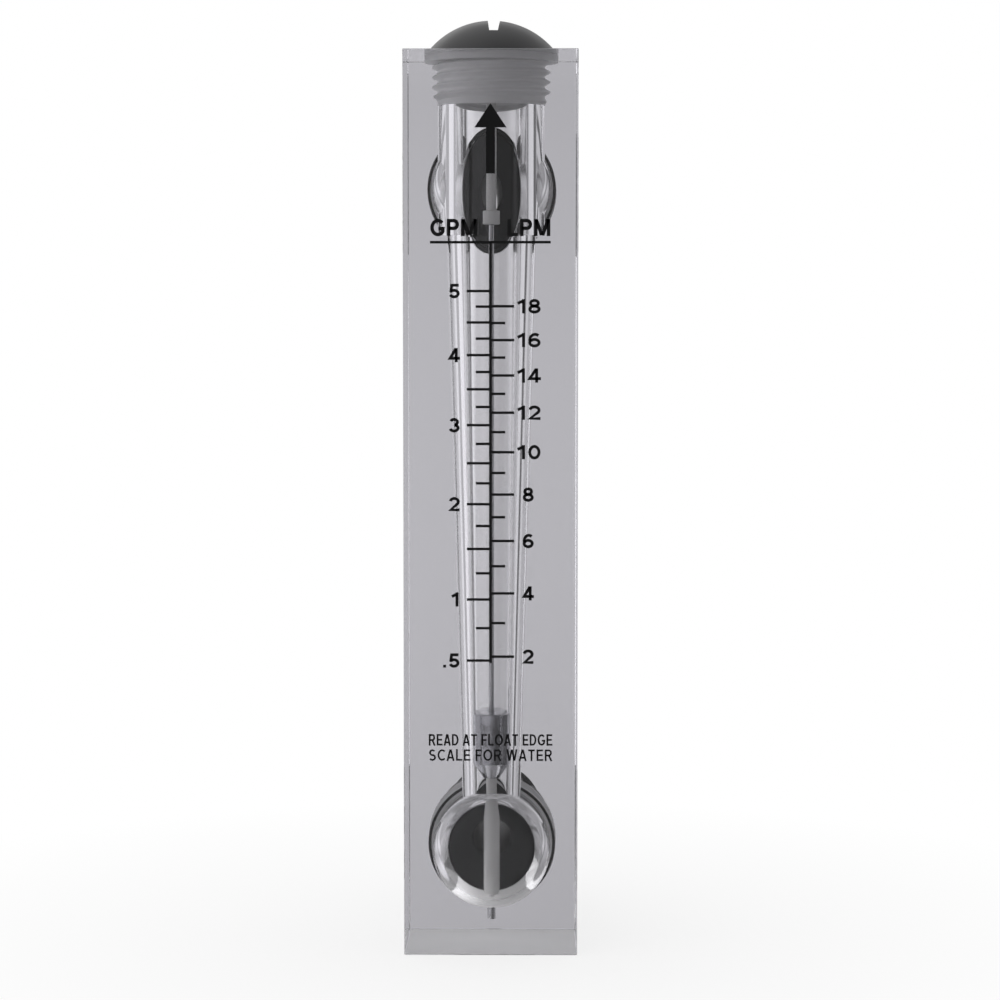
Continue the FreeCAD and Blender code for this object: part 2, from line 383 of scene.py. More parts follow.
def ring_profile(inner, outer, start, end, edge):
    """Plain ring with rounded edges."""
    return [(inner, start, edge), (outer, start, edge), (outer, end, edge), (inner, end, edge)]


def profile_points(item, angle):
    """Points (radius, along) that an item of a profile has at an angle. A ring's radius may depend on it."""
    if isinstance(item, Thread):
        return item.rows(angle)
    radius, along = item
    return [(radius(angle) if callable(radius) else radius, along)]


def turned_mesh(profile, place, angles, closed):
    """Mesh of a profile turned about its axis. A thread is one turn further on where the ends meet."""
    mesh = bmesh.new()
    grid = []
    for angle in angles:
        column = [point for item in profile for point in profile_points(item, angle)]
        grid.append([mesh.verts.new(place(radius, along, angle)) for radius, along in column])
    seam = []
    for item in profile:
        start = len(seam)
        last = len(profile_points(item, 0)) - 1
        shift = len(THREAD_CORNERS) if isinstance(item, Thread) else 0
        seam += [start + min(row + shift, last) for row in range(last + 1)]
    rows = len(seam)
    for index, column in enumerate(grid):
        following = grid[(index + 1) % len(grid)]
        at_seam = index == len(grid) - 1
        for row in range(rows if closed else rows - 1):
            above = (row + 1) % rows
            beside, beside_above = (seam[row], seam[above]) if at_seam else (row, above)
            corners = (column[row], following[beside], following[beside_above], column[above])
            mesh.faces.new(dict.fromkeys(corners))
    bmesh.ops.remove_doubles(mesh, verts=mesh.verts, dist=WELD)
    bmesh.ops.recalc_face_normals(mesh, faces=mesh.faces)
    return mesh


def extrude(mesh, outline, near, far):
    """Adds a solid between two planes of Y, from a closed outline of (x, z) points."""
    front = [mesh.verts.new((x, near, z)) for x, z in outline]
    back = [mesh.verts.new((x, far, z)) for x, z in outline]
    mesh.faces.new(front)
    mesh.faces.new(back[::-1])
    for index in range(len(outline)):
        following = (index + 1) % len(outline)
        mesh.faces.new((front[index], back[index], back[following], front[following]))


def shade(data):
    """Smooth shading with the real edges sharp."""
    data.shade_smooth()
    data.set_sharp_from_angle(angle=SHARP_ANGLE)


def new_piece(name, mesh, materials):
    """Object of a finished bmesh."""
    data = bpy.data.meshes.new(name)
    mesh.to_mesh(data)
    mesh.free()
    for material in materials:
        data.materials.append(material)
    shade(data)
    piece = bpy.data.objects.new(name, data)
    bpy.context.scene.collection.objects.link(piece)
    return piece


def turned_piece(name, profile, place, materials, angles=None, closed=False):
    """Object of a profile turned about its axis. A closed profile comes back to its first point."""
    mesh = turned_mesh(softened(profile), place, angles or even_angles(), closed)
    return new_piece(name, mesh, materials)


def carve(piece, cutters):
    """Cuts closed shapes out of a piece, deletes them and clears the slivers that the cuts leave."""
    for cutter in cutters:
        cut = piece.modifiers.new(cutter.name, "BOOLEAN")
        cut.operation = "DIFFERENCE"
        cut.solver = "EXACT"
        cut.material_mode = "TRANSFER"
        cut.object = cutter
    evaluated = piece.evaluated_get(bpy.context.evaluated_depsgraph_get())
    whole = piece.data
    piece.data = bpy.data.meshes.new_from_object(evaluated)
    piece.modifiers.clear()
    bpy.data.meshes.remove(whole)
    for cutter in cutters:
        bpy.data.objects.remove(cutter)
    mesh = bmesh.new()
    mesh.from_mesh(piece.data)
    bmesh.ops.remove_doubles(mesh, verts=mesh.verts, dist=WELD)
    bmesh.ops.dissolve_degenerate(mesh, edges=mesh.edges, dist=WELD)
    mesh.to_mesh(piece.data)
    mesh.free()
    if not piece.data.polygons:
        raise RuntimeError(f"nothing is left of {piece.name} after its cuts")
    shade(piece.data)


def fit_to_frame(piece, body, node):
    """The piece stands for a node of the frame and moves with its body."""
    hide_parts(node)
    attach(piece, body)


# Materials

ACRYLIC_INDEX = 1.49

# A sawn face is torn to a fine grit, so light leaves it where a smooth face would hold it in
SAWN_INDEX = 1.21


class Relief(NamedTuple):
    """Noise that raises a surface: its grain along X, Y and Z and its depth in millimetres."""

    grain: tuple
    strength: float
    depth: float
    detail: float = 2.0


class Gloss(NamedTuple):
    """Noise that leads a surface's roughness from one value to another: its grain is in millimetres."""

    grain: tuple
    bright: float
    dull: float
    detail: float = 2.0


def even(size):
    """Grain of one size in every direction."""
    return (size, size, size)


def rgba(values):
    return (*values, 1.0)


def add_node(tree, kind, inputs=None, **settings):
    """Adds a node with its settings. Each input is a value, or another node's output to link."""
    node = tree.nodes.new(kind)
    for name, value in settings.items():
        setattr(node, name, value)
    for socket, value in (inputs or {}).items():
        if isinstance(value, bpy.types.NodeSocket):
            tree.links.new(value, node.inputs[socket])
        else:
            node.inputs[socket].default_value = value
    return node


def new_material(name):
    """Empty material of a name. One that is there already is emptied, so that like pieces share it."""
    material = bpy.data.materials.get(name) or bpy.data.materials.new(name)
    material.use_nodes = True
    material.node_tree.nodes.clear()
    return material, material.node_tree


def surfaced_material(name, inputs, relief=None, gloss=None):
    """Material with the relief and the uneven gloss that the making of its surface left."""
    material, tree = new_material(name)
    patterns = {}
    for pattern in filter(None, (relief, gloss)):
        place = add_node(tree, "ShaderNodeTexCoord")
        stretched = add_node(tree, "ShaderNodeMapping", {
            "Vector": place.outputs["Object"], "Scale": [1 / (size * MM) for size in pattern.grain],
        })
        noise = add_node(tree, "ShaderNodeTexNoise", {
            "Vector": stretched.outputs["Vector"], "Scale": 1.0, "Detail": pattern.detail,
        })
        if pattern is relief:
            bump = add_node(tree, "ShaderNodeBump", {
                "Height": noise.outputs["Fac"], "Strength": relief.strength, "Distance": relief.depth * MM,
            })
            patterns["Normal"] = bump.outputs["Normal"]
        else:
            roughness = add_node(tree, "ShaderNodeMapRange", {
                "Value": noise.outputs["Fac"], "To Min": gloss.bright, "To Max": gloss.dull,
            })
            patterns["Roughness"] = roughness.outputs["Result"]
    shader = add_node(tree, "ShaderNodeBsdfPrincipled", {**inputs, **patterns})
    add_node(tree, "ShaderNodeOutputMaterial", {"Surface": shader.outputs["BSDF"]})
    return material


def polished_acrylic(settings):
    """Cast acrylic sheet, flame polished: glass-clear, with slow waves in the face. Its grey body colour is
    painted shade, standing in for a dim backdrop seen through the block.
    """
    return surfaced_material(
        "Cast acrylic, polished",
        {
            "Base Color": rgba(settings.tint), "Roughness": 0.0, "IOR": ACRYLIC_INDEX,
            "Transmission Weight": 1.0,
        },
        relief=Relief(grain=even(14), detail=1.0, strength=0.05, depth=0.01),
    )


def cut_acrylic(name, roughness, clear=1.0, index=ACRYLIC_INDEX):
    """The same acrylic where a tool has cut it: clear in the reamed bore, silky in the end-milled chambers,
    milky in the tapped threads and frosted on the sawn bottom."""
    return surfaced_material(name, {
        "Base Color": rgba((1, 1, 1)), "Roughness": roughness, "IOR": index, "Transmission Weight": clear,
    })


def moulded_plastic(name, black, grain, dullness):
    """Black plastic from a spark-eroded mould: a fine even grain that turns reflections into a soft sheen.
    The grain is drawn coarser than it is, so that it shows."""
    return surfaced_material(
        name, {"Base Color": rgba(black), "IOR": 1.5},
        relief=Relief(grain=even(grain), detail=3.0, strength=0.25, depth=0.02),
        gloss=Gloss(even(6), *dullness),
    )


def moulded_rubber(settings):
    """Nitrile rubber, compression moulded: near black, with a dull bloom that varies from place to place."""
    return surfaced_material(
        "Nitrile rubber, moulded", {"Base Color": rgba(settings.rubber), "IOR": 1.52},
        relief=Relief(grain=even(1.5), detail=4.0, strength=0.2, depth=0.02),
        gloss=Gloss(grain=even(1.5), detail=4.0, bright=0.5, dull=0.75),
    )


def stainless_steel(name, steel, grain, dullness):
    """Stainless steel with the marks of its making: long scratches on drawn wire, fine rings on a turned
    float. Both are drawn coarser than they are, so that they show."""
    return surfaced_material(
        name, {"Base Color": rgba(steel), "Metallic": 1.0},
        relief=Relief(grain, strength=0.15, depth=0.01),
        gloss=Gloss(grain, *dullness),
    )


def turned_fluoropolymer(settings):
    """Fluoropolymer bar, turned: waxy white with rings of the tool, so its sheen is broad and soft."""
    return surfaced_material(
        "Fluoropolymer, turned", {"Base Color": rgba(settings.sleeve), "Roughness": 0.45, "IOR": 1.38},
        relief=Relief(grain=(8, 8, 0.3), strength=0.2, depth=0.02),
    )


def screen_ink(settings):
    """Solvent ink, screen printed: a thin flat black film with the mesh's faint unevenness, drawn coarser
    than it is."""
    return surfaced_material(
        "Screen ink, printed", {"Base Color": rgba(settings.ink), "Specular IOR Level": 0.2},
        gloss=Gloss(grain=even(0.4), bright=0.45, dull=0.7),
    )


# Pieces


def bore_cutter(settings, reamed, tapped):
    """The tapered bore, the chamber over it, the threaded hole at the top and the seat of the plug's seal,
    as one solid to cut away. Thread and seat are wider than the chamber."""
    block, plug = settings.block, settings.plug
    inlet, outlet = PORT_HEIGHTS["inlet"], PORT_HEIGHTS["outlet"]
    upper_floor = outlet - block.upper_floor_drop
    upper = block.upper_chamber / 2
    seat_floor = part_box("plug_o_ring")[0].z
    seat = frame_radius("plug_o_ring") + plug.seal_room
    thread = Thread(BLOCK_TOP - plug.hole_depth, seat_floor, plug.thread / 2, plug.pitch, lead_in=plug.pitch)
    profile = [
        (0, inlet),
        (block.taper_bottom / 2, inlet),
        (block.taper_bottom / 2, inlet + block.chamber / 2),
        (block.taper_top / 2, upper_floor),
        (upper, upper_floor),
        (upper, thread.start - block.mouth_chamfer),
        thread,
        (seat, thread.end),
        (seat, BLOCK_TOP + CUT_PAST),
        (0, BLOCK_TOP + CUT_PAST),
    ]
    cutter = turned_piece("bore_cutter", profile, upright, [reamed, tapped])
    for face in cutter.data.polygons:
        face.material_index = int((face.center - BORE_AXIS).xy.length > upper)
    return cutter


def port_thread(settings, room):
    """Thread of a port mouth, or of the adapter that fits it with some room on the radius."""
    block, ports = settings.block, settings.ports
    start = BLOCK_BACK - block.port_depth + block.thread_relief
    end = BLOCK_BACK - 2 * block.mouth_chamfer
    return Thread(start, end, ports.mouth_thread / 2 - room, ports.mouth_pitch)


def port_cutter(settings, side, milled, tapped):
    """A port's chamber with its round nose, the seat of its seal and the threaded mouth. The seat is clear
    where the seal presses on it, so that the black rubber shows through the block as a line."""
    block = settings.block
    radius = block.chamber / 2
    corner = block.nose_corner
    front = BORE_AXIS.y - (block.inlet_nose if side == "inlet" else block.outlet_nose)
    seat = BLOCK_BACK - block.port_depth
    seal_low, seal_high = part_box(f"{side}_o_ring")
    pressed = frame_radius(f"{side}_o_ring") - (seal_high.y - seal_low.y) / 2
    thread = port_thread(settings, 0)
    mouth = thread.crest + block.mouth_chamfer / 2
    profile = [
        (0, front),
        *arc((radius - corner, front + corner), corner, math.pi, math.pi / 2, NOSE_STEPS),
        (radius, seat),
        (pressed, seat),
        (thread.crest, seat),
        (thread.crest, thread.start),
        thread,
        (mouth, BLOCK_BACK),
        (mouth, BLOCK_BACK + CUT_PAST),
        (0, BLOCK_BACK + CUT_PAST),
    ]
    # Half a step on, no column lies in a plane of another cutter's columns, which would spoil the cut
    angles = even_angles(offset=0.5)
    place = rearward(PORT_HEIGHTS[side])
    cutter = turned_piece(f"{side}_cutter", profile, place, [milled, tapped], angles)
    centre = Vector((BORE_AXIS.x, seat, PORT_HEIGHTS[side]))
    for face in cutter.data.polygons:
        away = face.center - centre
        reach = away.xz.length
        shows_seal = reach > pressed and abs(away.y) < WELD
        face.material_index = int(reach > radius and not shows_seal)
    return cutter


def rod_hole_cutter(settings, reamed):
    """The blind hole under the inlet chamber that the rod's foot is pressed into."""
    gap = settings.block.contact_gap
    inlet = PORT_HEIGHTS["inlet"]
    radius = frame_radius("guide_rod") - gap
    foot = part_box("guide_rod")[0].z + gap
    profile = [(0, foot), (radius, foot), (radius, inlet), (0, inlet)]
    angles = even_angles(ROD_HOLE_STEPS, offset=0.5)
    return turned_piece("rod_hole_cutter", profile, upright, [reamed], angles)


class FLOWMETER_OT_clear_block(bpy.types.Operator):
    """Builds the clear block with its bore, chambers and threaded holes"""

    bl_idname = "flow_meter.clear_block"
    bl_label = "Clear Block"

    def execute(self, context):
        settings = context.scene.flow_meter
        polished = polished_acrylic(settings.block)
        sawn = cut_acrylic("Cast acrylic, sawn", roughness=1.0, index=SAWN_INDEX)
        reamed = cut_acrylic("Cast acrylic, reamed", roughness=0.0)
        milled = cut_acrylic("Cast acrylic, end-milled", roughness=0.12)
        tapped = cut_acrylic("Cast acrylic, tapped", roughness=0.3, clear=0.05)
        flat = [polished, sawn]
        mesh = bmesh.new()
        size = BLOCK_HIGH - BLOCK_LOW
        place = Matrix.Translation(frame_middle("meter_body")) @ Matrix.Diagonal((*size, 1))
        bmesh.ops.create_cube(mesh, size=1, matrix=place)
        bmesh.ops.bevel(
            mesh, geom=mesh.edges[:], offset=settings.block.edge, segments=EDGE_STEPS, profile=0.5,
            affect="EDGES",
        )
        for face in mesh.faces:
            face.material_index = int(face.normal.z < DOWNWARD)
        block = new_piece("clear_block", mesh, [*flat, reamed, milled, tapped])
        cutters = [bore_cutter(settings, reamed, tapped), rod_hole_cutter(settings, reamed)]
        cutters += [port_cutter(settings, side, milled, tapped) for side in PORT_HEIGHTS]
        carve(block, cutters)
        for face in block.data.polygons:
            face.use_smooth = face.material_index >= len(flat)
        fit_to_frame(block, "meter", "meter_body")
        return {"FINISHED"}


def seal_ring(name, radii, span, place, rubber):
    """Seal squeezed between two seats: flat where it is pressed, round at its corners."""
    inner, outer = radii
    start, end = span
    corner = SEAL_ROUND * min(outer - inner, end - start)
    return turned_piece(name, ring_profile(inner, outer, start, end, corner), place, [rubber], closed=True)


class FLOWMETER_OT_top_plug(bpy.types.Operator):
    """Builds the domed plug with its coin slot, and the seal under its head"""

    bl_idname = "flow_meter.top_plug"
    bl_label = "Top Plug"

    def execute(self, context):
        settings = context.scene.flow_meter
        plug = settings.plug
        gap = settings.block.contact_gap
        seat = BLOCK_TOP + gap
        low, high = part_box("top_plug")
        black = moulded_plastic("ABS, moulded black", plug.black, grain=0.3, dullness=(0.31, 0.43))
        piece = turned_piece("domed_plug", self.plug_profile(settings, low, high, seat), upright, [black])
        carve(piece, [self.slot_cutter(plug, high, black)])
        fit_to_frame(piece, "plug", "top_plug")

        low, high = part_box("plug_o_ring")
        outer = frame_radius("plug_o_ring")
        inner = outer - (high.z - low.z) + plug.seal_room
        rubber = moulded_rubber(settings.ports)
        seal = seal_ring("plug_seal", (inner, outer), (low.z + gap, seat), upright, rubber)
        fit_to_frame(seal, "plug_seal", "plug_o_ring")
        return {"FINISHED"}

    def plug_profile(self, settings, low, high, seat):
        """Socket for the rod, threaded spigot and domed head."""
        plug = settings.plug
        crest = plug.thread / 2 - settings.ports.thread_room
        thread = Thread(low.z + plug.lead, seat, crest, plug.pitch, lead_in=plug.pitch / 2)
        rim = frame_radius("top_plug")
        dome_height = high.z - seat
        dome_radius = (rim**2 + dome_height**2) / (2 * dome_height)
        dome_start = math.asin(rim / dome_radius)
        return [
            (0, low.z + plug.socket_depth),
            (plug.socket / 2, low.z + plug.socket_depth),
            (plug.socket / 2, low.z),
            (thread.root() - plug.lead, low.z),
            (thread.root(), low.z + plug.lead),
            thread,
            *arc((0, high.z - dome_radius), dome_radius, dome_start, 0, NOSE_STEPS),
        ]

    def slot_cutter(self, plug, high, black):
        """The coin slot, from front to back across the dome, wider at its mouth than at its floor."""
        middle = BORE_AXIS.x + plug.slot_offset
        rim = frame_radius("top_plug")
        floor, above = high.z - plug.slot_depth, high.z + plug.slot_depth
        half_floor = plug.slot_floor / 2
        half_above = plug.slot_mouth - half_floor
        outline = [
            (middle - half_floor, floor),
            (middle - half_above, above),
            (middle + half_above, above),
            (middle + half_floor, floor),
        ]
        mesh = bmesh.new()
        extrude(mesh, outline, BORE_AXIS.y - rim, BORE_AXIS.y + rim)
        bmesh.ops.recalc_face_normals(mesh, faces=mesh.faces)
        return new_piece("slot_cutter", mesh, [black])


class FLOWMETER_OT_guide_rod(bpy.types.Operator):
    """Builds the guide rod and the two sleeves that stop the float"""

    bl_idname = "flow_meter.guide_rod"
    bl_label = "Guide Rod"

    def execute(self, context):
        settings = context.scene.flow_meter
        guide = settings.guide
        gap = settings.block.contact_gap
        radius = frame_radius("guide_rod")
        low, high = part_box("guide_rod")
        steel = stainless_steel(
            "Stainless steel, drawn", guide.steel, grain=(0.15, 0.15, 12), dullness=(0.18, 0.32)
        )
        profile = [
            (0, low.z), (radius, low.z, guide.rod_edge), (radius, high.z, guide.rod_edge), (0, high.z),
        ]
        rod = turned_piece("guide_rod_wire", profile, upright, [steel], even_angles(ROD_STEPS))
        fit_to_frame(rod, "meter", "guide_rod")

        white = turned_fluoropolymer(guide)
        inner = radius + guide.fit
        edge = guide.sleeve_edge
        low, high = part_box("lower_float_stop")
        profile = ring_profile(inner, frame_radius("lower_float_stop"), low.z + gap, high.z - gap, edge)
        lower = turned_piece("lower_sleeve", profile, upright, [white], closed=True)
        fit_to_frame(lower, "meter", "lower_float_stop")

        low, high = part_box("upper_float_stop")
        flange = frame_radius("upper_float_stop")
        profile = [
            (inner, low.z, edge),
            (flange, low.z, edge),
            (flange, low.z + guide.flange_height, edge),
            (guide.stem / 2, low.z + guide.flange_height, edge),
            (guide.stem / 2, high.z, edge),
            (inner, high.z, edge),
        ]
        upper = turned_piece("upper_sleeve", profile, upright, [white], closed=True)
        fit_to_frame(upper, "meter", "upper_float_stop")
        return {"FINISHED"}


class FLOWMETER_OT_float(bpy.types.Operator):
    """Builds the turned steel float"""

    bl_idname = "flow_meter.float"
    bl_label = "Float"

    def execute(self, context):
        weight = context.scene.flow_meter.weight
        low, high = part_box("float")
        outer = frame_radius("float")
        steel = stainless_steel(
            "Stainless steel, turned", weight.steel, grain=(8, 8, 0.2), dullness=(0.08, 0.22)
        )
        profile = [
            (weight.bore / 2, low.z, weight.edge),
            (weight.nose / 2, low.z, weight.edge),
            (outer, low.z + weight.cone_height, weight.edge),
            (outer, high.z, weight.edge),
            (weight.bore / 2, high.z, weight.edge),
        ]
        piece = turned_piece("turned_float", profile, upright, [steel], closed=True)
        fit_to_frame(piece, "float", "float")
        return {"FINISHED"}


class FLOWMETER_OT_adapters(bpy.types.Operator):
    """Builds the two threaded adapters and the seals at the bottom of the port threads"""

    bl_idname = "flow_meter.adapters"
    bl_label = "Adapters"

    def execute(self, context):
        settings = context.scene.flow_meter
        ports = settings.ports
        gap = settings.block.contact_gap
        black = moulded_plastic(
            "Glass-filled nylon, moulded black", ports.black, grain=0.2, dullness=(0.55, 0.67)
        )
        rubber = moulded_rubber(ports)
        for side, height in PORT_HEIGHTS.items():
            place = rearward(height)
            profile = self.adapter_profile(settings, *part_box(f"{side}_adapter"))
            adapter = turned_piece(f"{side}_hose_adapter", profile, place, [black], closed=True)
            fit_to_frame(adapter, "meter", f"{side}_adapter")

            low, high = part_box(f"{side}_o_ring")
            outer = frame_radius(f"{side}_o_ring")
            inner = outer - (high.y - low.y) + ports.thread_room
            seal = seal_ring(f"{side}_seal", (inner, outer), (low.y + gap, high.y - gap), place, rubber)
            fit_to_frame(seal, "meter", f"{side}_o_ring")
        return {"FINISHED"}

    def adapter_profile(self, settings, low, high):
        """Front end in the port, port thread, panel thread, pipe thread, then back through the bore."""
        ports = settings.ports
        bore, edge = ports.bore / 2, ports.edge
        inside = port_thread(settings, ports.thread_room)
        panel_end = BLOCK_BACK + ports.panel_length
        panel = Thread(
            BLOCK_BACK, panel_end - ports.run_out, ports.panel_thread / 2, ports.panel_pitch,
            run_out=ports.run_out,
        )
        pipe = Thread(
            panel_end, high.y - ports.run_out, ports.pipe_thread / 2, ports.pipe_pitch,
            lead_in=ports.lead_in, run_out=ports.run_out,
        )
        return [
            (bore + ports.flare, low.y, edge),
            (inside.root(), low.y, edge),
            inside,
            (inside.root(), BLOCK_BACK),
            (panel.root(), BLOCK_BACK),
            panel,
            (panel.root(), panel_end - ports.lead_in),
            pipe,
            (pipe.root() - edge, high.y, edge),
            (bore, high.y, edge),
            (bore, low.y + ports.flare),
        ]


class FLOWMETER_OT_fixings(bpy.types.Operator):
    """Builds the panel washers and the fluted panel nuts"""

    bl_idname = "flow_meter.fixings"
    bl_label = "Washers and Nuts"

    def execute(self, context):
        settings = context.scene.flow_meter
        fixings, ports = settings.fixings, settings.ports
        rubber = moulded_rubber(ports)
        black = moulded_plastic("ABS, moulded satin black", ports.black, grain=0.25, dullness=(0.35, 0.47))
        for side, height in PORT_HEIGHTS.items():
            place = rearward(height)
            low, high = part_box(f"{side}_panel_washer")
            outer = frame_radius(f"{side}_panel_washer")
            profile = ring_profile(fixings.washer_hole / 2, outer, low.y, high.y, fixings.washer_edge)
            washer = turned_piece(f"{side}_washer_ring", profile, place, [rubber], closed=True)
            fit_to_frame(washer, f"{side}_washer", f"{side}_panel_washer")

            low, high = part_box(f"{side}_panel_nut")
            outer = (high.z - low.z) / 2
            profile = self.nut_profile(settings, outer, low.y, high.y)
            angles = self.nut_angles(fixings, outer)
            nut = turned_piece(f"{side}_fluted_nut", profile, place, [black], angles, closed=True)
            fit_to_frame(nut, f"{side}_nut", f"{side}_panel_nut")
        return {"FINISHED"}

    def flute_place(self, fixings, outer):
        """How far a flute's middle is from the nut's axis, and half the angle that it takes of the rim."""
        centre = outer + fixings.flute / 2 - fixings.flute_depth
        half = math.acos((outer**2 + centre**2 - (fixings.flute / 2) ** 2) / (2 * outer * centre))
        return centre, half

    def nut_angles(self, fixings, outer):
        """Columns that fall on both edges of every flute."""
        flute = 2 * self.flute_place(fixings, outer)[1]
        pitch = math.tau / fixings.flutes
        land = pitch - flute
        angles = []
        for index in range(fixings.flutes):
            start = index * pitch
            angles += [start + flute * step / FLUTE_STEPS for step in range(FLUTE_STEPS)]
            angles += [start + flute + land * step / LAND_STEPS for step in range(LAND_STEPS)]
        return angles

    def nut_profile(self, settings, outer, start, end):
        """Fluted rim with chamfered edges, and a thread through the middle."""
        fixings, ports = settings.fixings, settings.ports
        chamfer = fixings.chamfer
        pitch = math.tau / fixings.flutes
        centre, half = self.flute_place(fixings, outer)

        def rim(limit):
            """Gives the fluted rim's radius at an angle, which is nowhere more than the limit."""

            def radius(angle):
                away = (angle - half + pitch / 2) % pitch - pitch / 2
                reach = (fixings.flute / 2) ** 2 - (centre * math.sin(away)) ** 2
                if reach <= 0:
                    return limit
                return min(limit, centre * math.cos(away) - math.sqrt(reach))

            return radius

        crest = ports.panel_thread / 2 + ports.thread_room
        inside = Thread(start + chamfer, end - chamfer, crest, ports.panel_pitch)
        countersink = crest + chamfer / 2
        return [
            (countersink, start),
            inside,
            (countersink, end),
            (rim(outer - chamfer), end),
            (rim(outer), end - chamfer),
            (rim(outer), start + chamfer),
            (rim(outer - chamfer), start),
        ]


# Printed scale

# Gallons a minute at the scale's two ends, and the power of the flow that the float's height follows
FLOW_RANGE = (0.5, 5.0)
FLOW_POWER = 0.637
LITRES_PER_GALLON = 3.785

# What is marked: quarter gallons and litres, with numbers at some of them
QUARTERS_PER_GALLON = 4
QUARTER_MARKS = range(2, 21)
GALLON_NUMBERS = (0.5, 1, 2, 3, 4, 5)
LITRE_MARKS = range(2, 19)
NOTE_LINES = ("READ AT FLOAT EDGE", "SCALE FOR WATER")

# Strokes of bold and light lettering and the gap between letters, in shares of the capital height
BOLD = 0.21
LIGHT = 0.15
LETTER_GAP = 0.12

# How far digits are stretched sideways
DIGIT_STRETCH = 1.2

# Degrees in one step of a letter's bow, and the fewest steps
BOW_STEP = 15
BOW_STEPS_LEAST = 4

# The corner of a bend is drawn out until the cosine of half its turn is down to this
MITRE_LIMIT = 0.5


def mark_height(scale, gallons):
    """Height of a flow's mark: the gap round the float widens as it climbs, so the marks draw together."""
    low, high, flow = (value**FLOW_POWER for value in (*FLOW_RANGE, gallons))
    return scale.low_mark + (scale.high_mark - scale.low_mark) * (flow - low) / (high - low)


def bow(middle, half_width, half_height, start, end):
    """Part of an ellipse in a letter, between two angles in degrees from the right, anticlockwise."""
    x, z = middle
    steps = max(BOW_STEPS_LEAST, round(abs(end - start) / BOW_STEP))
    turns = [math.radians(start + (end - start) * step / steps) for step in range(steps + 1)]
    return [(x + half_width * math.cos(turn), z + half_height * math.sin(turn)) for turn in turns]


def hoop(middle, half_width, half_height):
    """A whole ellipse, which ends where it starts."""
    points = bow(middle, half_width, half_height, 0, 360)
    return points[:-1] + points[:1]


# Each letter's width and the middle lines of its strokes. A stroke that ends where it starts is closed.
LETTERS = {
    " ": (0.2, []),
    ".": (0.2, [[(0.1, 0), (0.1, 0.2)]]),
    "0": (0.66, [hoop((0.33, 0.5), 0.235, 0.405)]),
    "1": (0.5, [[(0.4, 0), (0.4, 1)], [(0.36, 0.86), (0.1, 0.7)]]),
    "2": (0.66, [[*bow((0.33, 0.67), 0.235, 0.235, 170, -40), (0.12, 0.095), (0.64, 0.095)]]),
    "3": (0.66, [bow((0.32, 0.71), 0.2, 0.195, 160, -85), bow((0.32, 0.3), 0.235, 0.21, 85, -165)]),
    "4": (0.68, [[(0.44, 0.96), (0.1, 0.28), (0.68, 0.28)], [(0.46, 0), (0.46, 1)]]),
    "5": (0.66, [[(0.6, 0.905), (0.19, 0.905), (0.14, 0.5), *bow((0.33, 0.325), 0.235, 0.23, 135, -160)]]),
    "6": (0.66, [hoop((0.33, 0.32), 0.235, 0.225), bow((0.36, 0.5), 0.265, 0.405, 50, 190)]),
    "8": (0.66, [hoop((0.33, 0.715), 0.195, 0.19), hoop((0.33, 0.3), 0.235, 0.205)]),
    "A": (0.72, [[(0.08, 0), (0.34, 0.97)], [(0.38, 0.97), (0.64, 0)], [(0.18, 0.28), (0.54, 0.28)]]),
    "C": (0.7, [bow((0.42, 0.5), 0.325, 0.405, 45, 315)]),
    "D": (0.7, [[(0.095, 0.095), (0.095, 0.905), *bow((0.3, 0.5), 0.305, 0.405, 90, -90), (0.095, 0.095)]]),
    "E": (0.62, [
        [(0.6, 0.905), (0.095, 0.905), (0.095, 0.095), (0.62, 0.095)],
        [(0.1, 0.5), (0.56, 0.5)],
    ]),
    "F": (0.58, [[(0.58, 0.905), (0.095, 0.905), (0.095, 0)], [(0.1, 0.48), (0.52, 0.48)]]),
    "G": (0.8, [[*bow((0.42, 0.5), 0.325, 0.405, 42, 325), (0.7, 0.44), (0.44, 0.44)]]),
    "L": (0.58, [[(0.095, 1), (0.095, 0.095), (0.58, 0.095)]]),
    "M": (0.9, [
        [(0.095, 0), (0.095, 1)],
        [(0.805, 0), (0.805, 1)],
        [(0.12, 0.97), (0.42, 0.06)],
        [(0.48, 0.06), (0.78, 0.97)],
    ]),
    "O": (0.84, [hoop((0.42, 0.5), 0.325, 0.405)]),
    "P": (0.66, [[(0.095, 0), (0.095, 0.905), *bow((0.38, 0.68), 0.19, 0.225, 90, -90), (0.1, 0.455)]]),
    "R": (0.7, [
        [(0.095, 0), (0.095, 0.905), *bow((0.38, 0.69), 0.19, 0.215, 90, -90), (0.1, 0.475)],
        [(0.38, 0.47), (0.62, 0)],
    ]),
    "S": (0.66, [bow((0.33, 0.7), 0.21, 0.205, 35, 270) + bow((0.33, 0.29), 0.235, 0.205, 85, -150)]),
    "T": (0.64, [[(0.02, 0.905), (0.62, 0.905)], [(0.32, 0), (0.32, 0.9)]]),
    "W": (0.98, [
        [(0.08, 1), (0.26, 0.03)],
        [(0.29, 0.03), (0.47, 0.97)],
        [(0.51, 0.97), (0.69, 0.03)],
        [(0.72, 0.03), (0.9, 1)],
    ]),
}


